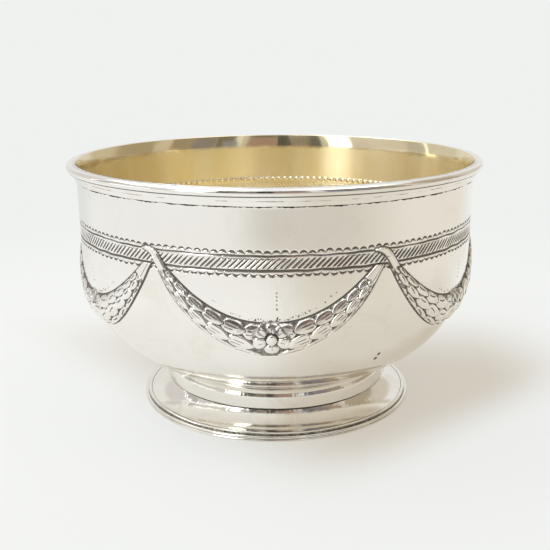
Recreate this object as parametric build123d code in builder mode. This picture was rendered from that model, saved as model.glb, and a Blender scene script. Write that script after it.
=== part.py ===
from build123d import *
from math import acosh, asinh, cos, cosh, sin, sinh
import os

# Silver sugar bowl on a spreading foot. The origin is the centre of the plane that the foot
# rests on, +Z is up, and -Y faces the middle of one garland. Lengths are in millimetres.

# Bowl: one raised sheet, its section a curve from the axis to the side, then a plain wall
mouth_height = 69.5
mouth_radius = 55.2
mouth_edge = 0.55
wall = 0.9
underside_height = 7.2
side_radius = 54.8
side_height = 44.5
floor_pull = 27.0
side_pull = 30.0
flare_radius = 54.95
flare_height = 65.1
handle_share = 0.55

# Gold layer inside the bowl
gilt = 0.12

# Rim: a half-round wire at the mouth, and a flat strip with two cut lines below it
lip_radius = 57.5
lip_wire_radius = 1.1
strip_top = 67.45
strip_thickness = 0.42
strip_line_heights = (66.1, 66.7)
strip_line_depth = 0.12
strip_solder_leg = 0.3

# Foot: an upright collar, a hollowed skirt set into it, and a double-reeded edge wire
foot_sheet = 0.8
collar_radius = 31.8
collar_bottom = 6.0
collar_shoulder_radius = 2.4
collar_shoulder_height = 9.0
socket_depth = 1.3
skirt_start = 5.9
skirt_hollow = 0.85
skirt_edge_radius = 38.35
skirt_edge_height = 2.0
skirt_bead_width = 1.05
skirt_bead_rise = 0.3
foot_solder_leg = 0.4
base_radius = 39.15
base_wire_width = 1.9
base_wire_height = 1.55

# Chased band round the wall, between two cut lines
band_bottom = 50.2
band_top = 53.75
groove_half_width = 0.22
groove_depth = 0.2

# Garlands: each hangs from the band as a catenary and is widest at its lowest point
garland_count = 6
garland_low = 33.1
catenary = 23.5
garland_left_height = band_top + 0.3
garland_right_height = band_bottom - 0.2
garland_stations = 13
taper_length = 32.0
taper_power = 1.4
middle_half_width = 4.45
end_half_width = 1.0
middle_relief = 1.7
end_relief = 0.5
root_depth = 0.45

# Rosette at the lowest point of each garland: round petals about an eye
rosette_height = 33.6
petal_count = 5
petal_ring_radius = 2.9
petal_radius = 1.65
petal_lift = 0.95
eye_radius = 1.2
eye_lift = 1.5


def bowl_line(inset, mouth):
    """Draw the bowl's section line from the axis to the mouth, moved into the metal by inset."""
    floor = underside_height + inset
    side = side_radius - inset
    handle = handle_share * inset
    Bezier(
        (0, floor),
        (floor_pull - handle, floor),
        (side, side_height - side_pull + handle),
        (side, side_height),
    )
    Polyline((side, side_height), (flare_radius - inset, flare_height), (mouth, mouth_height))


def flare(height, outwards=0.0):
    """Point on the mouth's flared outer face at a height, moved outwards."""
    rise = (height - flare_height) / (mouth_height - flare_height)
    top_radius = mouth_radius + mouth_edge
    return (flare_radius + rise * (top_radius - flare_radius) + outwards, height)


def ring_cut(point, half_width, depth):
    """Cut a V-shaped line round the part being built, its mouth centred on a section point."""
    radius, height = point
    with BuildSketch(Plane.XZ) as notch:
        with BuildLine():
            Polyline(
                (radius + depth, height - 2 * half_width),
                (radius - depth, height),
                (radius + depth, height + 2 * half_width),
                close=True,
            )
        make_face()
    revolve(notch.sketch, axis=Axis.Z, mode=Mode.SUBTRACT)


# Bowl before it is decorated
with BuildPart() as bowl_wall:
    with BuildSketch(Plane.XZ):
        with BuildLine():
            bowl_line(0, mouth_radius + mouth_edge)
            bowl_line(wall, mouth_radius)
            Line((0, underside_height), (0, underside_height + wall))
            Line((mouth_radius, mouth_height), (mouth_radius + mouth_edge, mouth_height))
        make_face()
    revolve(axis=Axis.Z)


# Places on the bowl's outer face
with BuildLine(Plane.XZ) as outer_line:
    bowl_line(0, mouth_radius + mouth_edge)
outer_face = outer_line.wires()[0]


def face_place(run, height):
    """Point of the outer face, and the direction out of it, at a height and at a run round
    the girth from the middle of the garland that faces -Y."""
    low, high = 0.0, 1.0
    while high - low > 1e-7:
        middle = (low + high) / 2
        if outer_face.position_at(middle).Z < height:
            low = middle
        else:
            high = middle
    radius = outer_face.position_at(low).X
    slope = outer_face.tangent_at(low)
    turn = run / side_radius
    point = Vector(radius * sin(turn), -radius * cos(turn), height)
    outwards = Vector(slope.Z * sin(turn), -slope.Z * cos(turn), -slope.X)
    return point, outwards


def garland_place(length):
    """Point and outward direction at a length along the garland from its lowest point."""
    run = catenary * asinh(length / catenary)
    return face_place(run, garland_low + catenary * (cosh(run / catenary) - 1))


def garland_length(height):
    """Length along the garland from its lowest point to a height."""
    return catenary * sinh(acosh(1 + (height - garland_low) / catenary))


def garland_station(length):
    """Plane across the garland, its y axis out of the bowl, and the share of its fullness."""
    point, outwards = garland_place(length)
    ahead = garland_place(length + 0.1)[0] - garland_place(length - 0.1)[0]
    plane = Plane(origin=point, x_dir=outwards.cross(ahead), z_dir=ahead)
    fullness = 1 - min(1, abs(length) / taper_length) ** taper_power
    return plane, fullness


# One garland: a tapering relief with a rosette, rooted in the sheet that it is worked from
with BuildPart() as garland:
    first = -garland_length(garland_left_height)
    last = garland_length(garland_right_height)
    for number in range(garland_stations):
        length = first + (last - first) * number / (garland_stations - 1)
        station, fullness = garland_station(length)
        half_width = end_half_width + fullness * (middle_half_width - end_half_width)
        relief = end_relief + fullness * (middle_relief - end_relief)
        with BuildSketch(station):
            with BuildLine():
                ThreePointArc((-half_width, -root_depth), (0, relief), (half_width, -root_depth))
                Line((-half_width, -root_depth), (half_width, -root_depth))
            make_face()
    loft()
    point, outwards = face_place(0, rosette_height)
    rosette = Plane(origin=point, x_dir=(1, 0, 0), z_dir=outwards)
    with Locations(rosette.offset(petal_lift)):
        with PolarLocations(petal_ring_radius, petal_count, start_angle=-90):
            Sphere(petal_radius)
    with Locations(rosette.offset(eye_lift)):
        Sphere(eye_radius)


with BuildPart() as bowl_shell:
    add(bowl_wall.part)
    for height in (band_bottom, band_top):
        ring_cut((side_radius, height), groove_half_width, groove_depth)
    with PolarLocations(0, garland_count):
        add(garland.part)


# Gold layer: follows the inside of the bowl
with BuildPart() as gilt_lining:
    with BuildSketch(Plane.XZ):
        with BuildLine():
            bowl_line(wall, mouth_radius)
            bowl_line(wall + gilt, mouth_radius - gilt)
            Line((0, underside_height + wall), (0, underside_height + wall + gilt))
            Line((mouth_radius - gilt, mouth_height), (mouth_radius, mouth_height))
        make_face()
    revolve(axis=Axis.Z)


# Lip wire: half-round outside, seated on the flare and on the top edge of the strip
with BuildPart() as lip_wire:
    wire_axis_radius = lip_radius - lip_wire_radius
    wire_axis_height = mouth_height - lip_wire_radius
    seat_drop = wire_axis_height - strip_top
    seat_reach = (lip_wire_radius**2 - seat_drop**2) ** 0.5
    with BuildSketch(Plane.XZ):
        with BuildLine():
            Polyline(
                (wire_axis_radius, mouth_height),
                flare(mouth_height),
                flare(strip_top),
                (wire_axis_radius - seat_reach, strip_top),
            )
            ThreePointArc(
                (wire_axis_radius - seat_reach, strip_top),
                (lip_radius, wire_axis_height),
                (wire_axis_radius, mouth_height),
            )
        make_face()
    revolve(axis=Axis.Z)


# Rim strip: flat band below the lip wire, with its two cut lines
with BuildPart() as rim_strip:
    with BuildSketch(Plane.XZ):
        with BuildLine():
            Polyline(
                flare(flare_height),
                flare(strip_top),
                flare(strip_top, strip_thickness),
                flare(flare_height, strip_thickness),
                close=True,
            )
        make_face()
    revolve(axis=Axis.Z)
    for height in strip_line_heights:
        ring_cut(flare(height, strip_thickness), strip_line_depth, strip_line_depth)


# Solder under the strip's lower edge
with BuildPart() as strip_solder:
    foot_of_solder = flare_height - strip_solder_leg
    with BuildSketch(Plane.XZ):
        with BuildLine():
            Polyline(
                (flare_radius - wall / 2, foot_of_solder),
                (flare_radius, foot_of_solder),
                flare(flare_height, strip_solder_leg),
                (flare_radius - wall / 2, flare_height),
                close=True,
            )
        make_face()
    revolve(axis=Axis.Z)
    add(bowl_wall.part, mode=Mode.SUBTRACT)


# Foot collar: upright below, rounded in above to meet the underside of the bowl
with BuildPart() as foot_collar:
    inner_radius = collar_radius - foot_sheet
    turn_radius = collar_radius - collar_shoulder_radius
    with BuildSketch(Plane.XZ):
        with BuildLine():
            outer = Polyline(
                (inner_radius, collar_bottom),
                (collar_radius, collar_bottom),
                (collar_radius, collar_shoulder_height),
            )
            shoulder = TangentArc(
                (collar_radius, collar_shoulder_height),
                (turn_radius, collar_shoulder_height + collar_shoulder_radius),
                tangent=(0, 1),
            )
            Line(shoulder @ 1, (shoulder @ 1) - (0, foot_sheet))
            TangentArc(
                (inner_radius, collar_shoulder_height),
                (shoulder @ 1) - (0, foot_sheet),
                tangent=(0, 1),
            )
            Line((inner_radius, collar_shoulder_height), (inner_radius, collar_bottom))
        make_face()
    revolve(axis=Axis.Z)
    add(bowl_wall.part, mode=Mode.SUBTRACT)


# Solder where the collar's shoulder meets the bowl
with BuildPart() as collar_solder:
    shoulder_top = collar_shoulder_height + collar_shoulder_radius
    with BuildSketch(Plane.XZ):
        with BuildLine():
            Polyline(
                (turn_radius, shoulder_top),
                (collar_radius - foot_solder_leg, shoulder_top + foot_solder_leg),
                (collar_radius - foot_solder_leg, shoulder_top - foot_solder_leg),
                (turn_radius, shoulder_top - foot_solder_leg),
                close=True,
            )
        make_face()
    revolve(axis=Axis.Z)
    add(bowl_wall.part, mode=Mode.SUBTRACT)
    add(foot_collar.part, mode=Mode.SUBTRACT)


# Foot skirt: its upstand stands in the collar, its hollowed face runs out to a small bead
with BuildPart() as foot_skirt:
    upstand_top = collar_bottom + socket_depth
    bead_start = skirt_edge_radius - skirt_bead_width
    face_start = Vector(inner_radius, skirt_start)
    face_end = Vector(bead_start, skirt_edge_height)
    back_start = Vector(inner_radius - foot_sheet, skirt_start - foot_sheet)
    back_end = Vector(bead_start - foot_sheet, base_wire_height)
    with BuildSketch(Plane.XZ):
        with BuildLine():
            Line((inner_radius, upstand_top), face_start)
            SagittaArc(face_start, face_end, -skirt_hollow)
            ThreePointArc(
                face_end,
                (bead_start + skirt_bead_width / 2, skirt_edge_height + skirt_bead_rise),
                (skirt_edge_radius, skirt_edge_height),
            )
            Polyline(
                (skirt_edge_radius, skirt_edge_height),
                (skirt_edge_radius, base_wire_height),
                back_end,
            )
            SagittaArc(back_start, back_end, -skirt_hollow)
            Polyline(
                back_start,
                (inner_radius - foot_sheet, upstand_top),
                (inner_radius, upstand_top),
            )
        make_face()
    revolve(axis=Axis.Z)


# Edge wire: two reeds outside, flat where it stands on the table
with BuildPart() as base_wire:
    reed = base_wire_height / 4
    reed_root = base_radius - reed
    with BuildSketch(Plane.XZ):
        with BuildLine():
            for bottom in (0, 2 * reed):
                ThreePointArc(
                    (reed_root, bottom),
                    (base_radius, bottom + reed),
                    (reed_root, bottom + 2 * reed),
                )
            Polyline(
                (reed_root, 0),
                (base_radius - base_wire_width, 0),
                (base_radius - base_wire_width, base_wire_height),
                (reed_root, base_wire_height),
            )
        make_face()
    revolve(axis=Axis.Z)


def corner_solder(point, across, along):
    """Run a three-sided solder seam round the corner at a section point."""
    radius, height = point
    with BuildSketch(Plane.XZ) as seam:
        with BuildLine():
            Polyline(
                (radius, height),
                (radius + across, height),
                (radius, height + along),
                close=True,
            )
        make_face()
    revolve(seam.sketch, axis=Axis.Z)


# Solder between the top of the skirt's upstand and the inside of the collar
with BuildPart() as skirt_solder:
    corner_solder((inner_radius, upstand_top), -foot_solder_leg, foot_solder_leg)


# Solder inside the edge wire, under the skirt
with BuildPart() as base_wire_solder:
    wire_inside = base_radius - base_wire_width
    corner_solder((wire_inside, base_wire_height), -foot_solder_leg, -foot_solder_leg)
    add(foot_skirt.part, mode=Mode.SUBTRACT)


os.makedirs("parts", exist_ok=True)

bowl_shell.part.label = "bowl_shell"
export_step(bowl_shell.part, "parts/bowl_shell.step")

gilt_lining.part.label = "gilt_lining"
export_step(gilt_lining.part, "parts/gilt_lining.step")

lip_wire.part.label = "lip_wire"
export_step(lip_wire.part, "parts/lip_wire.step")

rim_strip.part.label = "rim_strip"
export_step(rim_strip.part, "parts/rim_strip.step")

strip_solder.part.label = "strip_solder"
export_step(strip_solder.part, "parts/strip_solder.step")

foot_collar.part.label = "foot_collar"
export_step(foot_collar.part, "parts/foot_collar.step")

collar_solder.part.label = "collar_solder"
export_step(collar_solder.part, "parts/collar_solder.step")

foot_skirt.part.label = "foot_skirt"
export_step(foot_skirt.part, "parts/foot_skirt.step")

skirt_solder.part.label = "skirt_solder"
export_step(skirt_solder.part, "parts/skirt_solder.step")

base_wire.part.label = "base_wire"
export_step(base_wire.part, "parts/base_wire.step")

base_wire_solder.part.label = "base_wire_solder"
export_step(base_wire_solder.part, "parts/base_wire_solder.step")
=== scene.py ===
import math
from functools import reduce

import bpy
import numpy as np
from mathutils import Matrix, Vector


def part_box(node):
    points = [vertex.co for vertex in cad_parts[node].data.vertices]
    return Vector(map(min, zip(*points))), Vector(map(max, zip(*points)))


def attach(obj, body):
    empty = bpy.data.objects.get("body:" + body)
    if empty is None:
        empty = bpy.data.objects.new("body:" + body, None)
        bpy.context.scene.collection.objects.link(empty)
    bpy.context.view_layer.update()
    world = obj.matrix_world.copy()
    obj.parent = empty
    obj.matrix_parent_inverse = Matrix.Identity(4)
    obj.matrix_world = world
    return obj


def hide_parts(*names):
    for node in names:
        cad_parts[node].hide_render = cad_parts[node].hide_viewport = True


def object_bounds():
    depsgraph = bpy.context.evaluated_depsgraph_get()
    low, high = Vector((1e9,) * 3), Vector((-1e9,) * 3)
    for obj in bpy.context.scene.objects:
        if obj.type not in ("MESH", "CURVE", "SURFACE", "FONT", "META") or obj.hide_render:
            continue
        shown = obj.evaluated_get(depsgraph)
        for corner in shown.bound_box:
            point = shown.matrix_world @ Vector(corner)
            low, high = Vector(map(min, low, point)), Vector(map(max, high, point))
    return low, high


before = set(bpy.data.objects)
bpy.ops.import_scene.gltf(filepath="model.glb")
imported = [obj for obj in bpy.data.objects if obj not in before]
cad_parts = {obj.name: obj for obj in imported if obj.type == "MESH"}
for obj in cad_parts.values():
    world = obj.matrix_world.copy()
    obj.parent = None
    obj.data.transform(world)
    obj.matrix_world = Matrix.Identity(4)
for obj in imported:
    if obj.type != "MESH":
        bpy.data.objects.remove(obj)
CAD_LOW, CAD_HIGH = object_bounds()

# Silver sugar bowl, gilt inside, on a spreading foot. Working lengths are millimetres in the CAD
# frame and become metres in mesh_object(). Azimuth is 0 at the front (-Y) and grows towards +X.

MM = 0.001
CAD_MIDDLE = (CAD_LOW + CAD_HIGH) / 2
rng = np.random.default_rng(1904)


def node_size(name):
    """Bottom, top and radius of a CAD node in millimetres."""
    low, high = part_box(name)
    return low[2] / MM, high[2] / MM, high[0] / MM


UNDERSIDE, MOUTH_TOP, _ = node_size("bowl_shell")
lip_r = node_size("lip_wire")[2]
strip_bottom, strip_top, _ = node_size("rim_strip")
collar_bottom, collar_top, collar_r = node_size("foot_collar")
skirt_top, skirt_r = node_size("foot_skirt")[1:]
base_top, base_r = node_size("base_wire")[1:]

# Bowl section, as in the CAD part, but with its bend rounded and begun a little below the strip
WALL = 0.9
SIDE_RADIUS = 54.8
SIDE_HEIGHT = 44.5
FLOOR_PULL = 27.0
SIDE_PULL = 30.0
HANDLE_SHARE = 0.55
FLARE_RADIUS = 54.95
FLARE_HEIGHT = strip_bottom - 0.3
FLARE_ROUNDING = 0.22
MOUTH_OUTER = 55.75
MOUTH_INNER = 55.2
MOUTH_LINING = 55.08
CURVE_POINTS = 6001

# The silver's inner face lies this far behind the face of the gilding
BEHIND = 0.12

# Columns round the bowl and spacing of rows where the wall is chased
FINE = 2304
FINE_STEP = 0.15
LINING = FINE // 2
ZONE_LOW, ZONE_HIGH = 23.2, 55.8

# Hammer marks: height outside, height inside, the radius within which they fade towards the
# axis, and the seeds of the two patterns
HAMMER = 0.007
FACET = 0.0065
CALM_RADIUS = 24
OUTSIDE_SEED = 21
INSIDE_SEED = 40

# Chased band: strokes between two border lines. They lean HATCH_LEAN degrees of azimuth for each
# millimetre of height, STROKE_PITCH is the distance square across them, and the border lines
# waver only round the bowl, so their wavelength up it is endless.
BAND_LOW = 50.3
BAND_HIGH = 53.78
BAND_MIDDLE = 52.0
HATCH_COUNT = 257
HATCH_PITCH = 360 / HATCH_COUNT
HATCH_LEAN = 1.09
HATCH_LOW, HATCH_HIGH = 50.66, 53.42
MM_PER_DEGREE = 0.9564
STROKE_PITCH = HATCH_PITCH * MM_PER_DEGREE * 0.68
BORDER_WAVELENGTH = 1e9

# Scallops beside the band. Each row has the height of the marks' feet, the height of the middle
# of their reverse inside, the way that they arch, and a shift round the bowl in pitches.
SCALLOP_COUNT = 168
SCALLOP_PITCH = 2.05
SCALLOP_ROWS = ((54.18, 54.72, 1, 0.1), (49.82, 49.30, -1, 0.55))

# Garlands: half width at the ends, half width added at the middle, and where the leaves of the
# middle row meet, as lengths along the garland to the left and right of its lowest point
GARLANDS = 6
SPINE_LOW = 33.1
CATENARY = 23.5
TAPER = 32.0
END_WIDTH = 1.12
ADDED_WIDTH = 3.33
LEFT_BREAKS = (4.1, 10.0, 15.6, 21.0, 25.7, 30.0, 32.6)
RIGHT_BREAKS = (4.5, 10.3, 15.4, 19.9, 24.1, 27.6, 29.6)

# Rosette: its middle from the garland's lowest point, then the direction, distance of the middle,
# half length, half width and height of each petal
ROSETTE_ACROSS, ROSETTE_UP = 0.6, 0.7
EYE_RADIUS = 1.28
ROSETTE_EDGE = 4.25
PETALS = (
    (34, 2.9, 1.30, 1.25, 0.18),
    (148, 2.9, 1.30, 1.25, 0.20),
    (86, 2.75, 1.20, 1.50, 0.24),
    (-90, 2.55, 1.35, 1.85, 0.55),
    (-17, 3.20, 1.85, 1.50, 0.55),
    (197, 3.20, 1.85, 1.50, 0.55),
)

# Ribbon at a garland's left end: run from the garland's middle, height and half width
HOOK = (
    (-25.8, 49.0, 0.95),
    (-27.1, 51.0, 0.95),
    (-27.9, 52.2, 0.95),
    (-28.7, 53.05, 0.90),
    (-29.6, 53.5, 0.74),
    (-30.6, 53.75, 0.52),
    (-31.6, 53.8, 0.30),
)

# Punched dots: how many are scattered along each garland, and a row that rises from its middle.
# Loose dents: azimuth, height, radius and depth.
PUNCH_COUNT = 70
DOT_ROW_RUN = 1.9
DOT_ROW_HEIGHTS = (45.1, 44.2, 43.3, 42.2, 41.1)
LOWEST_DOT = 38.7
DENTS = ((32.45, 25.6, 0.62, 0.12), (32.1, 24.2, 0.66, 0.14), (3.75, 61.4, 0.3, 0.08))


# --- Section of the bowl


def bowl_section(inset, mouth_radius, curl=False, step=0.02):
    """Section of the bowl from the axis to the mouth, as points (radius, height).

    With curl the mouth turns out little by little instead of at one height.
    """
    floor = UNDERSIDE + inset
    side = SIDE_RADIUS - inset
    handle = HANDLE_SHARE * inset
    t = np.linspace(0, 1, CURVE_POINTS)[:, None]
    corners = [(0, floor), (FLOOR_PULL - handle, floor)]
    corners += [(side, SIDE_HEIGHT - SIDE_PULL + handle), (side, SIDE_HEIGHT)]
    weights = (1 - t) ** 3, 3 * t * (1 - t) ** 2, 3 * t**2 * (1 - t), t**3
    curve = sum(w * np.array(c) for w, c in zip(weights, corners))
    heights = np.arange(SIDE_HEIGHT + step, MOUTH_TOP + step / 2, step)
    lean = (FLARE_RADIUS - SIDE_RADIUS) / (FLARE_HEIGHT - SIDE_HEIGHT)
    reach = MOUTH_TOP - FLARE_HEIGHT
    flare = (mouth_radius - (FLARE_RADIUS - inset)) / reach - lean
    if curl:
        share = unit((heights - FLARE_HEIGHT) / reach)
        bend = reach * share**2
    else:
        bend = FLARE_ROUNDING * np.logaddexp(0, (heights - FLARE_HEIGHT) / FLARE_ROUNDING)
    radii = side + lean * (heights - SIDE_HEIGHT) + flare * bend
    return np.vstack([curve, np.column_stack([radii, heights])])


def arc_lengths(curve):
    steps = np.hypot(*np.diff(curve, axis=0).T)
    return np.concatenate([[0], np.cumsum(steps)])


def sample_curve(curve, at):
    """Points and outward unit normals of a section curve at arc lengths."""
    arcs = arc_lengths(curve)

    def points_at(shift):
        return np.column_stack([np.interp(at + shift, arcs, curve[:, i]) for i in (0, 1)])

    along = points_at(0.05) - points_at(-0.05)
    along /= np.hypot(*along.T)[:, None]
    return points_at(0), np.column_stack([along[:, 1], -along[:, 0]])


# --- Shaping functions


def waves(phi, z, count, turns, wavelength, seed):
    """Even noise of about unit size that closes on itself round the axis. phi is in radians."""
    pick = np.random.default_rng(seed)
    total = 0.0
    for _ in range(count):
        m = pick.integers(turns[0], turns[1] + 1)
        k = pick.normal() * 2 * math.pi / wavelength
        total = total + np.cos(m * phi + k * z + pick.uniform(0, 2 * math.pi))
    return total * math.sqrt(2 / count)


def unit(x):
    """x kept between 0 and 1."""
    return np.clip(x, 0, 1)


def smooth(x, low, high):
    t = unit((x - low) / (high - low))
    return t * t * (3 - 2 * t)


def groove(x, half_width):
    """1 in the middle of a cut, 0 at and beyond its half width."""
    return unit(1 - (x / half_width) ** 2)


def dome(x):
    return np.sqrt(unit(1 - x * x))


def turned_by(degrees, azimuth):
    """Azimuths measured from another one, between -180 and 180."""
    return (degrees - azimuth + 180) % 360 - 180


def soften(field, reach, turns=2):
    """Box blur over reach points each way that closes round the columns."""
    out = field.copy()
    size = 2 * reach + 1
    for _ in range(turns):
        wrapped = np.concatenate([out[:, -reach:], out, out[:, :reach]], axis=1)
        total = np.cumsum(np.pad(wrapped, ((0, 0), (1, 0))), axis=1)
        out = (total[:, size:] - total[:, :-size]) / size
        padded = np.pad(out, ((reach + 1, reach), (0, 0)), mode="edge")
        total = np.cumsum(padded, axis=0)
        out = (total[size:] - total[:-size]) / size
    return out


# --- Decoration of the wall


def band(degrees, z):
    """Depth of the chased band: two border lines, slanting strokes and two rows of crescents."""
    phi = np.radians(degrees)
    wobble = 0.05 * waves(phi, 0 * z, 14, (3, 60), BORDER_WAVELENGTH, 5)
    depth = 0.20 * groove(z - BAND_LOW - wobble, 0.34)
    faint = unit(0.5 + 0.9 * waves(phi, 0 * z, 10, (8, 40), BORDER_WAVELENGTH, 6))
    depth = np.maximum(depth, (0.10 + 0.09 * faint) * groove(z - BAND_HIGH + wobble, 0.27))
    depth = np.maximum(depth, 0.09 * faint * groove(z - BAND_HIGH + 0.72, 0.14))
    slot = (degrees - HATCH_LEAN * (z - BAND_MIDDLE)) / HATCH_PITCH
    index = np.round(slot).astype(int) % HATCH_COUNT
    shift = rng.normal(0, 0.05, HATCH_COUNT)[index]
    length = rng.uniform(-0.12, 0.12, HATCH_COUNT)[index]
    across = (slot - np.round(slot) + shift) * STROKE_PITCH
    lower = unit((z - HATCH_LOW + length) / 0.45)
    upper = unit((HATCH_HIGH + length - z) / 1.05)
    taper = np.sqrt(lower * upper)
    depth = np.maximum(depth, 0.19 * groove(across, 0.06 + 0.21 * taper) * taper)
    for foot, _, up, turn in SCALLOP_ROWS:
        slot = degrees * SCALLOP_COUNT / 360 + turn
        index = np.round(slot).astype(int) % SCALLOP_COUNT
        x = (slot - np.round(slot)) * SCALLOP_PITCH + rng.normal(0, 0.04, SCALLOP_COUNT)[index]
        arch = (0.84 + rng.normal(0, 0.05, SCALLOP_COUNT)[index]) * dome(x / 0.98)
        lift = rng.normal(0, 0.05, SCALLOP_COUNT)[index]
        thick = 0.10 + 0.20 * groove(x, 0.95)
        mark = groove((z - foot - lift) * up - arch + 0.12, thick) * (np.abs(x) < 0.97)
        depth = np.maximum(depth, 0.2 * mark)
    return depth


def back_of_band(degrees, z):
    """Rise of the band's marks where they show inside: beads, slanting ridges and two lines."""
    slot = (degrees - HATCH_LEAN * (z - BAND_MIDDLE)) / HATCH_PITCH
    across = (slot - np.round(slot)) * STROKE_PITCH
    length = smooth(z, 50.5, 51.1) * (1 - smooth(z, 52.8, 53.4))
    rise = 0.20 * np.sqrt(groove(across, 0.34)) * length
    lines = np.maximum(groove(z - BAND_LOW, 0.4), groove(z - BAND_HIGH, 0.35))
    rise = np.maximum(rise, 0.14 * lines)
    for _, centre, _, turn in SCALLOP_ROWS:
        slot = degrees * SCALLOP_COUNT / 360 + turn
        x = (slot - np.round(slot)) * SCALLOP_PITCH
        bead = dome(np.hypot(x / 0.84, (z - centre) / 0.60))
        rise = np.maximum(rise, 0.42 * bead)
    return rise


def spine(s):
    """Height of the garland's middle line, a catenary, at a run s round the wall."""
    return SPINE_LOW + CATENARY * (np.cosh(s / CATENARY) - 1)


def nearest_on_spine(s, z):
    """For points (s, z) on the unrolled wall: run along the spine and distance above it."""
    x = s.copy()
    for _ in range(7):
        slope = np.sinh(x / CATENARY)
        off = z - spine(x)
        f = (s - x) + off * slope
        x = np.clip(x - f / (-1 - slope**2 + off * np.cosh(x / CATENARY) / CATENARY), -34, 32)
    slope = np.sinh(x / CATENARY)
    above = ((z - spine(x)) - (s - x) * slope) / np.sqrt(1 + slope**2)
    return CATENARY * slope, above


def leaf(t, y, edge, curve, second, bold):
    """Lift, outline and veins of one leaf: t runs from its round base to its tip, y across it."""
    base = dome((0.34 - t) / 0.34)
    point = 1 - 0.90 * (np.clip(t - 0.34, 0, 0.66) / 0.66) ** 2.7
    outline = np.where(t < 0.34, base, point)
    inside = (t > 0) & (t < 1) & (np.abs(y) < outline)
    rim = np.clip((outline - np.abs(y)) * edge, 0, None)
    ends = unit(np.minimum(t / 0.06, (1 - t) / 0.05))
    swell = dome(np.abs(y) / np.maximum(outline, 0.05))
    lift = unit(rim / 0.30) * ends * (0.50 + 0.50 * swell) * (0.80 + 0.30 * t)
    line = 1 - smooth(np.minimum(rim, 0.5 * ends), 0.04, 0.20 * bold)
    veins = 0.0
    for side, start, stop, share in ((-0.34, 0.10, 0.62, second), (0.24, 0.16, 0.74, 1.0)):
        middle = side * (1 - 0.5 * t) + curve * (t - 0.3) ** 2
        cut = share * groove((y - middle) * edge, 0.17 * bold * (1.1 - 0.5 * t))
        length = smooth(t, start, start + 0.1) * (1 - smooth(t, stop - 0.2, stop))
        veins = np.maximum(veins, cut * length)
    return inside, lift, line, veins


def foliage(length, v, half, width, fullness, pick, front):
    """Lift, outlines, veins and cover of the leaves on both arms of a garland.

    v runs across the garland from -1 to 1, and half holds the points of its two arms.
    """
    inward = smooth(length, 4, 13)
    lifts, lines, vein_marks = (np.zeros_like(v) for _ in range(3))
    covered = np.zeros(v.shape, bool)
    for arm, breaks in zip(half, (LEFT_BREAKS, RIGHT_BREAKS)):
        middle = np.array(breaks) * (1 + pick.normal(0, 0.006, len(breaks)))
        between = np.concatenate([[1.8], (middle[1:] + middle[:-1]) / 2])
        rows = (
            (between + 0.8, -0.88, 0.33, 0.80),
            (between - 0.2, 0.52 + 0.05 * inward, 0.47, 0.90),
            (middle, -0.25 + 0.05 * inward, 0.42 + 0.05 * inward, 1.10),
        )
        for marks, centre, share, size in rows:
            for inner, outer in zip(marks[:-1], marks[1:]):
                base = outer - 0.05
                tip = inner - 0.16 * (outer - inner)
                t = (base - length) / (base - tip)
                tilt = pick.normal(0, 0.03)
                grow = size * (1 + pick.normal(0, 0.05)) * (0.24 + 0.48 * fullness)
                y = (v - centre - tilt * (t - 0.5)) / share
                if front:
                    curve, second, bold = 0.3, 1.0, 1.0
                else:
                    curve, second, bold = pick.choice((-2.6, 2.6)), 0.0, 1.5
                on, lift, line, veins = leaf(t, y, share * width, curve, second, bold)
                on = on & arm
                lifts = np.where(on, lift * grow, lifts)
                lines = np.where(on, line, lines)
                vein_marks = np.where(on, veins, vein_marks)
                covered |= on
    return lifts, lines, vein_marks, covered


def garland(s, z, pick, front):
    """One garland on the unrolled wall, s = 0 at its lowest point.

    Returns its height, its darkness, the run along it, the distance above its spine and its width.
    """
    run, above = nearest_on_spine(s, z)
    length = np.abs(run)
    width = END_WIDTH + ADDED_WIDTH * unit(1 - (length / TAPER) ** 1.4)
    fullness = (width - END_WIDTH) / ADDED_WIDTH
    v = above / width
    inside = np.abs(v) < 1
    swell = unit(1 - np.abs(v) ** 2.5) ** 0.7
    half = (run < 0, run >= 0)
    lifts, lines, vein_marks, covered = foliage(length, v, half, width, fullness, pick, front)
    plain = np.where(run < 0, smooth(length, 31.4, 32.4), smooth(length, 28.4, 29.2))
    leafy = (1 - plain) * inside
    gap = np.where(covered, (0.85 if front else 1.0) * lines, 0.62) * leafy
    # Painted shade: the upper half of the garland is darkened.
    upper_shade = (0.43 if front else 0.34) * smooth(v, 0.0, 0.6) * leafy
    body = 0.86 * (0.40 + 0.80 * fullness) * swell
    height = body + lifts * (0.35 + 0.65 * swell) - 0.13 * vein_marks - 0.14 * gap
    crease = 0.75 * plain * inside * (run > 0) * groove((v + 0.40) * width, 0.15)
    dark = np.maximum.reduce([gap, vein_marks * 0.85 * (1 - plain), upper_shade, crease])
    edge = unit((1 - np.abs(v)) * width / 0.25)
    ribbon = (0.42 + 0.1 * unit(1 - v * v)) * edge
    height = np.where(inside, height * (1 - plain) + ribbon * plain, 0)
    spread = 0.27 + 0.12 * front * (above < 0) * smooth(run, 16, 25)
    outline = groove(np.abs(above) - width - 0.06, spread)
    below = 0.75 + 0.25 * smooth(run, 18, 26)
    dark = np.maximum(dark, outline * np.where(above > 0, 1.0, below))
    height = height - 0.16 * outline * (np.abs(v) >= 1)
    return height, dark, run, above, width


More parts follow.
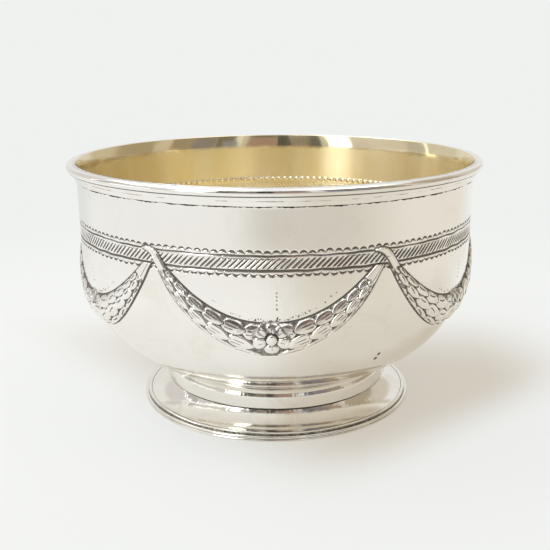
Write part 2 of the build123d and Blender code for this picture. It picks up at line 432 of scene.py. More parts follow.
def rosette(s, z, height, dark):
    """Petals about an eye over the middle of the garland; the upper ones are low and darkened with
    painted shade.
    """
    dx, dz = s - ROSETTE_ACROSS, z - (SPINE_LOW + ROSETTE_UP)
    radius = np.hypot(dx, dz)
    clear = 1 - smooth(radius, 4.2, 5.0)
    ground = height * (1 - clear) + clear * np.minimum(height, 1.0)
    nearest = np.full(ground.shape, 9.0)
    second = np.full(ground.shape, 9.0)
    lines = np.zeros_like(ground)
    lift = np.zeros_like(ground)
    for turn, out, reach, spread, size in PETALS:
        angle = math.radians(turn)
        ahead = dx * math.cos(angle) + dz * math.sin(angle)
        across = -dx * math.sin(angle) + dz * math.cos(angle)
        q = np.hypot((ahead - out) / reach, across / spread)
        lift = np.where(q < nearest, size * np.sqrt(unit(1 - q**3.4)), lift)
        second = np.minimum(second, np.maximum(nearest, q))
        nearest = np.minimum(nearest, q)
        length = smooth(ahead, out - 1.3, out - 0.9) * (1 - smooth(ahead, out - 0.1, out + 0.4))
        lines = np.maximum(lines, groove(across - 0.12, 0.15) * length * (q < 1))
    seam = (1 - smooth(second - nearest, 0.04, 0.24)) * (nearest < 1)
    ring = groove(radius - 1.42, 0.28)
    # The ring about the eye is cut deeper and darker on its upper side; the darkness is painted
    # shadow.
    shaded = 0.25 + 0.75 * smooth(dz, -0.3, 0.7)
    eye = dome(radius / EYE_RADIUS)
    lift = lift - 0.25 * seam - 0.45 * ring * shaded
    lift = np.where(radius < EYE_RADIUS, 0.34 + 0.42 * eye, lift) - 0.13 * lines
    border = groove(radius - ROSETTE_EDGE, 0.22) * smooth(dz, 0.2, 1.2)
    gap = smooth(0.14 - lift, 0.0, 0.14)
    # Painted shade on the upper petals.
    upper = smooth(dz, 0.6, 1.6)
    upper_shade = upper * (0.46 + 0.14 * np.sin(3.1 * dx + 2.3 * dz)) * (1 - 0.8 * border)
    gap_dark = gap * (0.62 - 0.16 * upper)
    seam_dark = 0.7 * seam * (radius > 1.0)
    shade = np.maximum.reduce([gap_dark, ring * shaded, seam_dark, lines * 0.75, upper_shade]) * clear
    dark = dark * (1 - clear) + shade
    return ground + lift * clear - 0.12 * gap * clear + 0.16 * border, dark


def strap(s, z):
    """The ribbon that carries the garland's left end up over the band and hooks over at its top."""
    near = np.full(s.shape, 9.0)
    side = np.zeros(s.shape)
    for (x0, z0, w0), (x1, z1, w1) in zip(HOOK[:-1], HOOK[1:]):
        ax, az = x1 - x0, z1 - z0
        size = ax * ax + az * az
        t = unit(((s - x0) * ax + (z - z0) * az) / size)
        off = np.hypot(s - x0 - t * ax, z - z0 - t * az) - (w0 + t * (w1 - w0))
        turned = ((s - x0) * az - (z - z0) * ax) / math.sqrt(size)
        side = np.where(off < near, turned, side)
        near = np.minimum(near, off)
    on = (near < 0) & (z > 49.2)
    edge = unit(-near / 0.25)
    height = np.where(on, (0.50 + 0.12 * side) * edge, 0)
    length = smooth(z, 50.8, 52.0) * (1 - smooth(z, 53.2, 53.8))
    fold = groove(side - 0.36, 0.14) * length * on * (near < -0.2)
    dark = groove(near - 0.13, 0.25) * (z > 48.8) * (near > -0.05)
    return height, dark, on, fold


def dots(s, z, marks):
    """Small round pits: each mark is (s, z, radius, depth)."""
    depth = np.zeros(np.broadcast(s, z).shape)
    for ms, mz, radius, deep in marks:
        cols = np.where(np.abs(s[0] - ms) < radius)[0]
        rows = np.where(np.abs(z[:, 0] - mz) < radius)[0]
        if len(cols) and len(rows):
            block = np.ix_(rows, cols)
            far = np.hypot(s[0][cols][None, :] - ms, z[rows] - mz) / radius
            depth[block] = np.maximum(depth[block], deep * unit(1 - far**2))
    return depth


def punch_marks(pick):
    """Dots scattered over a garland, and a row of them above its middle."""
    marks = []
    for _ in range(PUNCH_COUNT):
        at = pick.normal(2.5, 5.5)
        rise = spine(at) + 4.75 + 0.35 * abs(pick.normal()) + 0.004 * at * at
        marks.append((at, rise, pick.uniform(0.13, 0.24), pick.uniform(0.05, 0.12)))
    for at in DOT_ROW_HEIGHTS:
        marks.append((DOT_ROW_RUN, at, 0.28 if at < 41.5 else 0.20, 0.1))
    marks.append((DOT_ROW_RUN, LOWEST_DOT, 0.24, 0.1))
    return marks


def decorate(degrees, z):
    """Height above the plain wall, darkness and relief of the garlands, over the chased zone.

    degrees is a row and z a column.
    """
    cut = band(degrees, z)
    height = -cut
    dark = unit(cut / 0.12)
    relief = np.zeros_like(cut)
    for k in range(GARLANDS):
        pick = np.random.default_rng(70 + k)
        offset = turned_by(degrees[0], 360 / GARLANDS * k)
        cols = np.where((offset > -38) & (offset < 31))[0]
        s = np.radians(offset[cols])[None, :] * SIDE_RADIUS
        local_s = np.broadcast_to(s, (z.shape[0], len(cols))).copy()
        local_z = np.broadcast_to(z, local_s.shape).copy()
        lift, shade, run, above, width = garland(local_s, local_z, pick, k == 0)
        lift, shade = rosette(local_s, local_z, lift, shade)
        hung = ((local_z < BAND_LOW - 0.1) | (run < 0)) & (local_z < BAND_MIDDLE)
        lift = lift * hung
        shade = shade * (local_z < BAND_LOW - 0.15)
        ribbon, ribbon_dark, covered, fold = strap(local_s, local_z)
        pits = dots(s, z, punch_marks(pick)) * (np.abs(above) > width)
        bare = (lift > 0.05) | covered
        block = np.where(bare, 0, height[:, cols])
        block = block - 0.05 * (shade > 0.3) * (lift <= 0.05)
        block = np.where(np.abs(lift) > np.abs(block), lift, block)
        block = np.where(ribbon > 0.02, np.maximum(ribbon, block), block)
        height[:, cols] = block - pits - 0.10 * ribbon_dark - 0.08 * fold
        band_dark = np.where(bare, 0, dark[:, cols])
        garland_dark = np.where(ribbon > 0.1, fold * 0.7, shade)
        pit_dark = unit(pits / 0.07)
        dark[:, cols] = np.maximum.reduce([band_dark, garland_dark, ribbon_dark, pit_dark])
        relief[:, cols] = np.maximum(relief[:, cols], np.maximum(lift, ribbon))
    for azimuth, at, size, deep in DENTS:
        s = np.radians(turned_by(degrees, azimuth)) * SIDE_RADIUS
        pits = dots(s, z, [(0, at, size, deep)])
        height = height - pits
        dark = np.maximum(dark, unit(pits / 0.09))
    return height, dark, relief


# --- Mesh building


def even_degrees(columns):
    return np.arange(columns) * 360 / columns


def ring_points(radii, heights, degrees):
    """Points of one row: radii and heights per column (or single values)."""
    phi = np.radians(degrees)
    radii = radii + 0 * phi
    return np.column_stack([radii * np.sin(phi), -radii * np.cos(phi), heights + 0 * phi])


def plain_row(radius, height, columns):
    """A clean circle of points, with no darkness."""
    return ring_points(radius, height, even_degrees(columns)), np.zeros(columns)


def stitch(counts):
    """Quads and triangles that join successive rows of points.

    Two neighbouring rows have equal counts, or one has twice as many, or one is a single point.
    """
    starts = np.concatenate([[0], np.cumsum(counts)[:-1]])
    quads, tris = [np.zeros((0, 4), int)], [np.zeros((0, 3), int)]
    for a, b, m, n in zip(starts[:-1], starts[1:], counts[:-1], counts[1:]):
        j = np.arange(max(m, n) if 1 in (m, n) else min(m, n))
        k = (j + 1) % len(j)
        if m == n:
            quads.append(np.column_stack([a + j, a + k, b + k, b + j]))
        elif m == 1:
            tris.append(np.column_stack([a + 0 * j, b + k, b + j]))
        elif n == 1:
            tris.append(np.column_stack([a + j, a + k, b + 0 * j]))
        elif n == 2 * m:
            f0, f1, f2 = b + 2 * j, b + 2 * j + 1, b + (2 * j + 2) % n
            corners = (a + j, f1, f0), (a + j, a + k, f1), (a + k, f2, f1)
            tris += [np.column_stack(c) for c in corners]
        elif m == 2 * n:
            f0, f1, f2 = a + 2 * j, a + 2 * j + 1, a + (2 * j + 2) % m
            corners = (f0, f1, b + j), (f1, b + k, b + j), (f1, f2, b + k)
            tris += [np.column_stack(c) for c in corners]
    return np.vstack(quads), np.vstack(tris)


def mesh_object(name, rows, material, closed=False):
    """One mesh from rows, each a pair of points in millimetres and the darkness of each point."""
    counts = [len(points) for points, _ in rows]
    total = sum(counts)
    quads, tris = stitch(counts + ([counts[0]] if closed else []))
    corners = np.concatenate([quads.ravel(), tris.ravel()]).astype(np.int32) % total
    sizes = np.repeat([4, 3], [len(quads), len(tris)])
    firsts = (np.cumsum(sizes) - sizes).astype(np.int32)
    mesh = bpy.data.meshes.new(name)
    mesh.vertices.add(total)
    mesh.vertices.foreach_set("co", np.vstack([points for points, _ in rows]).ravel() * MM)
    mesh.loops.add(len(corners))
    mesh.loops.foreach_set("vertex_index", corners)
    mesh.polygons.add(len(firsts))
    mesh.polygons.foreach_set("loop_start", firsts)
    mesh.polygons.foreach_set("use_smooth", np.ones(len(firsts), bool))
    mesh.update(calc_edges=True)
    mesh.validate()
    # Darkness of each point: oxide in hollows, and painted shade in places.
    layer = mesh.attributes.new("tarnish_and_shade", "FLOAT", "POINT")
    layer.data.foreach_set("value", np.concatenate([dark for _, dark in rows]).astype(np.float32))
    obj = bpy.data.objects.new(name, mesh)
    bpy.context.scene.collection.objects.link(obj)
    obj.data.materials.append(material)
    return obj


def settle(piece, node):
    """A finished piece rides on the one body and stands for its CAD node, which is hidden."""
    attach(piece, "root")
    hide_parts(node)


def corner_arc(centre, radius, start, end, count):
    """Points of an arc about centre, its ends given in degrees."""
    angles = np.radians(np.linspace(start, end, count))
    return [(centre[0] + radius * math.cos(a), centre[1] + radius * math.sin(a)) for a in angles]


def upright(radius, low, high, count):
    return [(radius, z) for z in np.linspace(low, high, count)]


def lathe(name, section, material, shade, wobble, seed, ragged=None, patchy=0.0):
    """A ring turned from a closed section (radius, height), with a hand-made waver round the axis.

    shade gives the darkness of a section point, ragged moves the points of a row, and patchy is
    how far the darkness is worn away in places.
    """
    degrees = even_degrees(1152)
    phi = np.radians(degrees)
    rows = []
    for radius, height in section:
        broad = waves(phi, 0.15 * radius, 9, (2, 9), 40, seed)
        middling = waves(phi, height, 12, (10, 46), 9, seed + 1)
        fine = waves(phi, height, 24, (50, 190), 2.5, seed + 3)
        dr = wobble * (broad + 0.35 * middling + 0.15 * fine)
        dz = wobble * 0.8 * waves(phi, 0.1 * height, 9, (2, 12), 40, seed + 2)
        if ragged is not None:
            edge_r, edge_z = ragged(phi, radius, height)
            dr, dz = dr + edge_r, dz + edge_z
        wear = 0.5 + 0.9 * waves(phi, 0.3 * height, 22, (5, 60), 3.0, seed + 7)
        dark = shade(radius, height) * unit(1 - patchy * wear)
        rows.append((ring_points(radius + dr, np.maximum(height + dz, 0.0), degrees), dark))
    return mesh_object(name, rows, material, closed=True)


# --- Materials


class Nodes:
    """Short way to write the node tree of a material or a world."""

    def __init__(self, owner):
        owner.use_nodes = True
        self.tree = owner.node_tree
        self.tree.nodes.clear()

    def __call__(self, kind, inputs=None, **settings):
        node = self.tree.nodes.new(kind)
        for key, value in settings.items():
            setattr(node, key, value)
        for key, value in (inputs or {}).items():
            socket = node.inputs[key]
            if isinstance(value, bpy.types.NodeSocket):
                self.tree.links.new(value, socket)
            elif isinstance(value, tuple) and socket.type == "RGBA":
                socket.default_value = value + (1.0,)
            else:
                socket.default_value = value
        return node

    def math(self, operation, a, b=0.0, c=0.0):
        return self("ShaderNodeMath", {0: a, 1: b, 2: c}, operation=operation).outputs[0]

    def times(self, *factors):
        return reduce(lambda a, b: self.math("MULTIPLY", a, b), factors)

    def line(self, value, slope, start):
        """value times slope, plus start."""
        return self.math("MULTIPLY_ADD", value, slope, start)

    def span(self, value, low, high, to_low=0.0, to_high=1.0):
        """A value eased from to_low to to_high as it goes from low to high."""
        limits = {"From Min": low, "From Max": high, "To Min": to_low, "To Max": to_high}
        eased = {"interpolation_type": "SMOOTHSTEP"}
        return self("ShaderNodeMapRange", {"Value": value, **limits}, **eased).outputs["Result"]

    def mix(self, factor, a, b):
        return self("ShaderNodeMix", {0: factor, 6: a, 7: b}, data_type="RGBA").outputs[2]

    def noise(self, vector, scale, detail=3.0, roughness=0.55, distortion=0.0):
        look = {"Scale": scale, "Detail": detail, "Roughness": roughness, "Distortion": distortion}
        return self("ShaderNodeTexNoise", {"Vector": vector, **look}).outputs["Fac"]

    def place(self, vector, scale=(1, 1, 1), rotation=(0, 0, 0)):
        node = self("ShaderNodeMapping", {"Vector": vector, "Scale": scale, "Rotation": rotation})
        return node.outputs["Vector"]

    def azimuth(self, apart):
        """Azimuth in degrees of a vector that is already separated."""
        front = self.times(apart.outputs["Y"], -1.0)
        return self.math("DEGREES", self.math("ARCTAN2", apart.outputs["X"], front))

    def sector(self, azimuth, centre, half, soft):
        """1 up to a half width on either side of centre, 0 beyond, with soft edges, in degrees."""
        turn = self.math("ABSOLUTE", self.math("SUBTRACT", azimuth, centre))
        turn = self.math("MINIMUM", turn, self.math("SUBTRACT", 360.0, turn))
        return self.span(turn, half + soft, half - soft)


def scratches(n, spot, angle, density, sparse):
    """Thin lines in one direction, broken up so that only a few show."""
    turned = n.place(spot, scale=(density, density, density * 0.02), rotation=angle)
    streak = n.noise(turned, 1.0, 2.0, 0.5)
    patch = n.noise(spot, 60.0, 2.0)
    line = n.span(streak, sparse, sparse + 0.012)
    return n.times(line, n.span(patch, 0.48, 0.62))


def metal(name, clean, warm, oxide, base_roughness, film=0.25, fine=1.0, burnished=False):
    """Worn precious metal: uneven tone, film of tarnish, black oxide and painted shade where the
    darkness attribute is high, wipe marks and scratches.

    Burnished metal is the gilding, polished smooth round the axis and worn thin at the mouth; where
    the darkness is below zero it is whitened, partly worn gilding and partly painted highlight.
    """
    material = bpy.data.materials.new(name)
    n = Nodes(material)
    spot = n("ShaderNodeTexCoord").outputs["Object"]
    tarnish_and_shade = n("ShaderNodeAttribute", attribute_name="tarnish_and_shade").outputs["Fac"]
    drawn = n.place(spot, scale=(1, 1, 0.45)) if burnished else spot
    cloud = n.noise(drawn, 95.0, 5.0, 0.65, 0.8)
    grain = n.noise(spot, 900.0, 4.0, 0.7)
    if burnished:
        uneven = n.span(n.noise(drawn, 125.0, 2.0, 0.5, 0.2), 0.32, 0.68)
    else:
        uneven = n.span(n.noise(spot, 28.0, 4.0, 0.6, 0.4), 0.35, 0.70)
    tone = n.mix(uneven, clean, warm)
    veil = n.times(n.span(cloud, 0.50, 0.78), film)
    tone = n.mix(veil, tone, tuple(0.80 * c * w for c, w in zip(warm, (1.0, 0.93, 0.82))))
    if burnished:
        level = n("ShaderNodeSeparateXYZ", {0: spot}).outputs["Z"]
        stretched = n.noise(n.place(spot, scale=(1, 1, 0.3)), 140.0, 2.0)
        level = n.math("ADD", level, n.line(stretched, 2.2 * MM, -1.1 * MM))
        bare = n.span(level, (FLARE_HEIGHT - 0.2) * MM, (FLARE_HEIGHT + 1.6) * MM, 0.0, 0.50)
        # Painted highlight, partly worn gilding: the raised beads and ridges inside are whitened
        # and smoothed.
        rubbed_highlight = n.span(tarnish_and_shade, -0.06, -0.28)
        tone = n.mix(bare, tone, (0.78, 0.70, 0.53))
        tone = n.mix(rubbed_highlight, tone, (0.95, 0.92, 0.80))
        base_roughness = n.line(bare, -0.54, base_roughness)
        base_roughness = n.line(rubbed_highlight, -0.20, base_roughness)
    broken = n.line(n.noise(spot, 1500.0, 3.0), 0.55, tarnish_and_shade)
    stain_and_shade = n.times(n.span(broken, 0.52, 1.02), n.span(tarnish_and_shade, 0.04, 0.35))
    tone = n.mix(stain_and_shade, tone, oxide)
    marks = scratches(n, spot, (0.3, 0.9, 0.2), 5200.0, 0.690)
    marks = n.math("MAXIMUM", marks, scratches(n, spot, (1.2, -0.4, 0.8), 4100.0, 0.695))
    marks = n.math("MAXIMUM", marks, scratches(n, spot, (0.1, 0.1, 1.5), 6400.0, 0.692))
    rough = n.line(n.span(cloud, 0.42, 0.75), 0.07, base_roughness)
    rough = n.line(n.span(grain, 0.35, 0.75), 0.035, rough)
    rough = n.line(marks, 0.12 * fine, rough)
    rough = n.line(stain_and_shade, 0.38, rough)
    relief = n.line(marks, -0.9 * fine, n.times(grain, 0.10))
    relief = n.line(n.noise(spot, 330.0, 2.0), 0.5, relief)
    bump = n("ShaderNodeBump", {"Strength": 0.22, "Distance": 0.000012, "Height": relief})
    look = {"Base Color": tone, "Roughness": rough, "Normal": bump.outputs["Normal"]}
    surface = n("ShaderNodeBsdfPrincipled", {"Metallic": 0.90 if burnished else 1.0, **look})
    if burnished:
        tangent = n("ShaderNodeTangent", direction_type="RADIAL", axis="Z")
        n.tree.links.new(tangent.outputs[0], surface.inputs["Tangent"])
        surface.inputs["Anisotropic"].default_value = 0.92
        surface.inputs["Anisotropic Rotation"].default_value = 0.25
    n("ShaderNodeOutputMaterial", {"Surface": surface.outputs[0]})
    return material


SILVER = metal(
    "worn_silver", (0.965, 0.955, 0.925), (0.94, 0.915, 0.86), (0.185, 0.170, 0.150), 0.070
)
# The foot's silver is darker and warmer than the bowl's: partly more tarnish, partly painted shade
# of the foot under the bowl.
SHADED_FOOT_SILVER = metal(
    "foot_silver_with_shade", (0.925, 0.91, 0.87), (0.88, 0.85, 0.785), (0.13, 0.12, 0.10), 0.075, film=0.35
)
GILDING = metal(
    "pale_gilding", (0.945, 0.850, 0.595), (0.900, 0.780, 0.475), (0.30, 0.20, 0.09), 0.36,
    film=0.12, fine=0.5, burnished=True,
)
SOLDER = metal(
    "dull_solder", (0.62, 0.60, 0.56), (0.50, 0.47, 0.42), (0.10, 0.09, 0.08), 0.30,
    film=0.6, fine=0.3,
)


# --- The bowl's silver sheet


def planish(degrees, z, size, seed):
    """Faint unevenness left by the hammer; inside it runs in tall facets."""
    phi = np.radians(degrees)
    broad = waves(phi, z, 26, (4, 26), 22.0, seed)
    if seed == INSIDE_SEED:
        facets = waves(phi, z, 22, (26, 52), 55.0, seed + 1)
        return size * (0.6 * broad + facets + 0.18 * waves(phi, z, 20, (60, 110), 20.0, seed + 2))
    return size * (broad + 0.30 * waves(phi, z, 30, (24, 70), 9.0, seed + 1))


def wall_rows(curve, arcs, columns, height=None, dark=None, hammer=HAMMER, seed=OUTSIDE_SEED):
    """Rows that follow a section of the bowl through arc lengths; height and dark go row by row."""
    rows = []
    degrees = even_degrees(columns)
    points, normals = sample_curve(curve, arcs)
    for i, ((radius, z), (nr, nz)) in enumerate(zip(points, normals)):
        if radius < 1e-6:
            rows.append((np.array([(0.0, 0.0, z)]), np.zeros(1)))
            continue
        lift = planish(degrees, z, hammer, seed) * min(1.0, (radius / CALM_RADIUS) ** 2)
        if height is not None:
            lift = lift + height[i]
        shade = dark[i] if dark is not None else np.zeros(columns)
        rows.append((ring_points(radius + nr * lift, z + nz * lift, degrees), shade))
    return rows


# The chased zone of the outer face: height, darkness and relief at every point
outer = bowl_section(0.0, MOUTH_OUTER)
outer_arcs = arc_lengths(outer)
arc_low, arc_high = np.interp((ZONE_LOW, ZONE_HIGH), outer[:, 1], outer_arcs)
zone_arcs = np.linspace(arc_low, arc_high, int(round((arc_high - arc_low) / FINE_STEP)) + 1)
zone_z = sample_curve(outer, zone_arcs)[0][:, 1]
zone_degrees = even_degrees(FINE)
zone_height, zone_dark, zone_relief = decorate(zone_degrees[None, :], zone_z[:, None])

# Tarnish also gathers in the hollows beside the relief
reach = int(round(0.45 / FINE_STEP))
cavity = unit((soften(zone_height, reach) - zone_height - 0.02) / 0.22)
near_relief = unit(soften(unit(zone_relief), reach) * 3)
zone_dark = unit(np.maximum(zone_dark, 0.72 * cavity * near_relief))
fade = smooth(zone_z, ZONE_LOW, ZONE_LOW + 0.5) * (1 - smooth(zone_z, ZONE_HIGH - 0.4, ZONE_HIGH))
zone_height = zone_height * fade[:, None]

# Inside, the relief shows as hollows and the band's marks show as beads and ridges
hollow = soften(np.maximum(zone_relief, 0), int(0.9 / FINE_STEP))
back_z = zone_z[::2]
raised = back_of_band(zone_degrees[None, ::2], back_z[:, None])
back = 0.62 * hollow[::2, ::2] - raised

inner = bowl_section(WALL - BEHIND, MOUTH_INNER, curl=True)
inner_arcs = arc_lengths(inner)
inner_back = np.interp(back_z, inner[:, 1], inner_arcs)

bowl_rows = wall_rows(outer, np.arange(0, arc_low - 6, 1.0), FINE // 4)
bowl_rows += wall_rows(outer, np.linspace(arc_low - 5.4, arc_low - 0.6, 8), FINE // 2)
bowl_rows += wall_rows(outer, zone_arcs, FINE, zone_height, zone_dark)
bowl_rows += wall_rows(outer, np.arange(arc_high + 0.4, outer_arcs[-1] - 0.25, 0.4), FINE // 2)
bowl_rows.append(plain_row(MOUTH_OUTER - 0.06, MOUTH_TOP - 0.06, FINE // 2))
bowl_rows.append(plain_row(MOUTH_OUTER - 0.2, MOUTH_TOP, FINE // 2))
bowl_rows.append(plain_row(MOUTH_INNER + 0.1, MOUTH_TOP, FINE // 2))
for arcs, columns, height in (
    (np.arange(inner_arcs[-1] - 0.3, inner_back[-1] + 0.3, -0.6), LINING, None),
    (inner_back[::-1], LINING, back[::-1]),
    (np.arange(inner_back[0] - 1.0, 8, -1.5), LINING // 2, None),
    (np.append(np.arange(6.0, 1.0, -1.5), 0.0), LINING // 2, None),
):
    bowl_rows += wall_rows(inner, arcs, columns, height, hammer=0.0)
settle(mesh_object("silver_bowl", bowl_rows, SILVER), "bowl_shell")


# --- Gilding inside the bowl


def gilt_rows(arcs, columns, height=None, dark=None, hammer=FACET):
    return wall_rows(face, arcs, columns, height, dark, hammer, INSIDE_SEED)


face = bowl_section(WALL, MOUTH_LINING, curl=True)
face_arcs = arc_lengths(face)
face_back = np.interp(back_z, face[:, 1], face_arcs)
gilding_rows = gilt_rows(np.array([0.0]), LINING // 2)
gilding_rows += gilt_rows(np.arange(1.2, face_back[0] - 4, 1.2), LINING // 2)
gilding_rows += gilt_rows(np.linspace(face_back[0] - 3.2, face_back[0] - 0.6, 4), LINING)
# The beads and ridges get negative darkness, which whitens them: partly worn gilding, partly
# painted highlight.
gilding_rows += gilt_rows(face_back, LINING, back, -raised)
gilding_rows += gilt_rows(np.arange(face_back[-1] + 0.3, face_arcs[-1] - 0.1, 0.3), LINING)
gilding_rows += gilt_rows(face_arcs[-1:], LINING, hammer=0.0)
gilding_rows.append(plain_row(MOUTH_INNER - 0.01, MOUTH_TOP, LINING))
settle(mesh_object("gilt_inside", gilding_rows[::-1], GILDING), "gilt_lining")


# --- Rim

# The wire reaches a little below the top of the strip
LIP_RADIUS = (MOUTH_TOP - strip_top + 0.15) / 2
STRIP_THICK = 0.42
STRIP_LINE = 66.35


def flare_at(z, outwards=0.0):
    """Section point of the bowl's outer face at a height, moved outwards."""
    return (float(np.interp(z, outer[:, 1], outer[:, 0])) + outwards, z)


def lip_shade(radius, z):
    """Painted shade: the wire is dark where it sits on the strip."""
    return 1.4 * smooth(strip_top + 0.36 - z, 0, 0.25)


def strip_shade(radius, z):
    """The strip is dark in its line and at its bottom edge, and has painted shade at its top edge
    under the wire.
    """
    line = math.exp(-(((z - STRIP_LINE) / 0.12) ** 2))
    top = smooth(z, strip_top - 0.2, strip_top)
    bottom = 1 - smooth(z, strip_bottom, strip_bottom + 0.16)
    return 0.6 * line + 1.6 * max(top, bottom)


lip_centre = (lip_r - LIP_RADIUS, MOUTH_TOP - LIP_RADIUS)
lip_section = [flare_at(strip_top, 0.02), (lip_centre[0] - 0.45, strip_top)]
lip_section += corner_arc(lip_centre, LIP_RADIUS, -70, 90, 40)
lip_section += [(MOUTH_OUTER + 0.02, MOUTH_TOP - 0.01), flare_at(MOUTH_TOP - 1.0, 0.02)]
settle(lathe("rim_wire", lip_section, SILVER, lip_shade, 0.025, 101), "lip_wire")

strip_section = [flare_at(strip_bottom, 0.01), flare_at(strip_bottom, STRIP_THICK - 0.10)]
for z in np.arange(strip_bottom + 0.10, strip_top - 0.02, 0.05):
    cut = 0.025 * math.exp(-(((z - STRIP_LINE) / 0.07) ** 2))
    strip_section.append(flare_at(z, STRIP_THICK - cut))
strip_section.append(flare_at(strip_top - 0.01, STRIP_THICK - 0.03))
strip_section.append(flare_at(strip_top - 0.01, 0.01))
strip = lathe("rim_band", strip_section, SILVER, strip_shade, 0.02, 111, patchy=1.0)
settle(strip, "rim_strip")


def seam(name, corner, inward, leg, node, seed, dark=0.75, raggedness=0.10):
    """A thin, uneven run of solder in the angle between two pieces.

    inward is the section's diagonal direction, and leg is how far the solder reaches on each side.
    """
    cr, cz = corner
    ur, uz = inward
    section = [(cr - ur * 0.05, cz - uz * 0.05)]
    for t in np.linspace(0, 1, 7):
        bow = 0.28 * math.sin(math.pi * t)
        section.append((cr + ur * leg * (1 - t) * (1 - bow), cz + uz * leg * t * (1 - bow)))
    area = sum(a[0] * b[1] - b[0] * a[1] for a, b in zip(section, section[1:] + section[:1]))
    if area < 0:
        section = section[::-1]

    def ragged(phi, radius, z):
        far = math.hypot(radius - cr, z - cz) / leg
        coarse = waves(phi, z, 16, (20, 150), 3.0, seed)
        fine = waves(phi, radius, 16, (150, 400), 2.0, seed + 5)
        pull = raggedness * far * (coarse + 0.6 * fine)
        return ur * pull, uz * pull

    ring = lathe(name, section, SOLDER, lambda radius, z: dark, 0.02, seed, ragged)
    settle(ring, node)


seam("rim_solder", flare_at(strip_bottom), (1, -1), 0.27, "strip_solder", 211, raggedness=0.05)


# --- Foot collar

FOOT_SHEET = 0.8
SHOULDER = 2.4
collar_inside = collar_r - FOOT_SHEET
shoulder_z = collar_top - SHOULDER
shoulder_r = collar_r - SHOULDER
bowl_above = float(np.interp(shoulder_r - 0.25, outer[:CURVE_POINTS, 0], outer[:CURVE_POINTS, 1]))


def collar_shade(radius, z):
    """The collar is dark at its lower edge and where it meets the bowl."""
    low = 1 - smooth(z, collar_bottom + 0.12, collar_bottom + 0.42)
    high = smooth(z, collar_top - 0.22, collar_top - 0.02)
    return max(0.9 * low, 0.8 * high)


collar_section = [(collar_inside, collar_bottom), (collar_r - 0.12, collar_bottom)]
collar_section.append((collar_r, collar_bottom + 0.12))
collar_section += upright(collar_r, collar_bottom + 0.3, shoulder_z, 8)
collar_section += corner_arc((shoulder_r, shoulder_z), SHOULDER, 2, 88, 28)
collar_section.append((shoulder_r - 0.25, min(collar_top, bowl_above)))
collar_section.append((shoulder_r - 0.3, collar_top - 0.5))
collar_section += corner_arc((shoulder_r, shoulder_z), SHOULDER - FOOT_SHEET, 80, 2, 14)
collar_section += upright(collar_inside, shoulder_z - 0.2, collar_bottom + 0.2, 6)
collar = lathe("foot_collar_ring", collar_section, SHADED_FOOT_SILVER, collar_shade, 0.03, 121)
settle(collar, "foot_collar")
collar_corner = (shoulder_r + 0.05, collar_top - 0.02)
seam("collar_seam", collar_corner, (1, 0.35), 0.4, "collar_solder", 221)


# --- Foot skirt

SKIRT_START = 5.9
SKIRT_HOLLOW = 0.85
SKIRT_EDGE = 2.0
SKIRT_FOOT = 1.56
BEAD_WIDTH = 1.05
BEAD_RISE = 0.3
bead_r = skirt_r - BEAD_WIDTH


def cavetto(start, end, sagitta, count):
    """Arc from start to end, bowed by sagitta towards the axis and down."""
    start, end = np.array(start, float), np.array(end, float)
    chord = end - start
    length = np.hypot(*chord)
    radius = (length**2 / 4 + sagitta**2) / (2 * sagitta)
    inward = np.array([chord[1], -chord[0]]) / length
    centre = (start + end) / 2 - inward * (radius - sagitta)
    first, last = (math.degrees(math.atan2(*(point - centre)[::-1])) for point in (start, end))
    return corner_arc(centre, radius, first, last, count)


def skirt_shade(radius, z):
    """The skirt is dark under the collar, inside its bead and at its edge, and dull beneath."""
    top = smooth(z, SKIRT_START - 0.35, SKIRT_START)
    rim = smooth(radius, bead_r - 0.14, bead_r) * (1 - smooth(radius, bead_r + 0.02, bead_r + 0.16))
    end = smooth(radius, skirt_r - 0.14, skirt_r)
    beneath = 0.35 if z < 1.9 or radius < collar_inside - 0.1 else 0.0
    return max(0.85 * top, 0.72 * rim, 0.6 * end, beneath)


upper = cavetto((collar_inside, SKIRT_START), (bead_r, SKIRT_EDGE), SKIRT_HOLLOW, 40)
under_start = (collar_inside - 0.35, SKIRT_START - 0.75)
under_end = (bead_r - 0.2, SKIRT_EDGE - 0.45)
bead = []
for t in np.linspace(0.04, 1, 14):
    bead.append((bead_r + BEAD_WIDTH * t, SKIRT_EDGE + BEAD_RISE * math.sin(math.pi * t)))
skirt_section = [(skirt_r - 0.02, SKIRT_FOOT)]
skirt_section += bead[::-1] + upper[::-1]
skirt_section += upright(collar_inside, SKIRT_START + 0.15, skirt_top, 6)
skirt_section += upright(collar_inside - FOOT_SHEET, skirt_top, SKIRT_START - 0.3, 6)
skirt_section += cavetto(under_start, under_end, SKIRT_HOLLOW * 0.9, 24)
skirt_section.append((bead_r - 0.1, SKIRT_FOOT))
skirt = lathe("foot_skirt_ring", skirt_section, SHADED_FOOT_SILVER, skirt_shade, 0.035, 131)
settle(skirt, "foot_skirt")
under_collar = (collar_inside + 0.1, collar_bottom - 0.02)
seam("skirt_seam", under_collar, (1, -1), 0.5, "skirt_solder", 231, raggedness=0.02)


# --- Edge wire of the foot

BASE_WIDTH = 1.9
base_inside = base_r - BASE_WIDTH
reed = base_top / 4


def base_shade(radius, z):
    """The wire is dark between its reeds, underneath, and on its top."""
    between = math.exp(-(((z - 2 * reed) / 0.16) ** 2)) if radius > base_r - 2 * reed else 0.0
    below = 0.55 if z < 0.12 else 0.0
    top = smooth(z, base_top - 0.08, base_top) * (radius < base_r - 0.4)
    return max(0.5 * between, below, 0.5 * top)


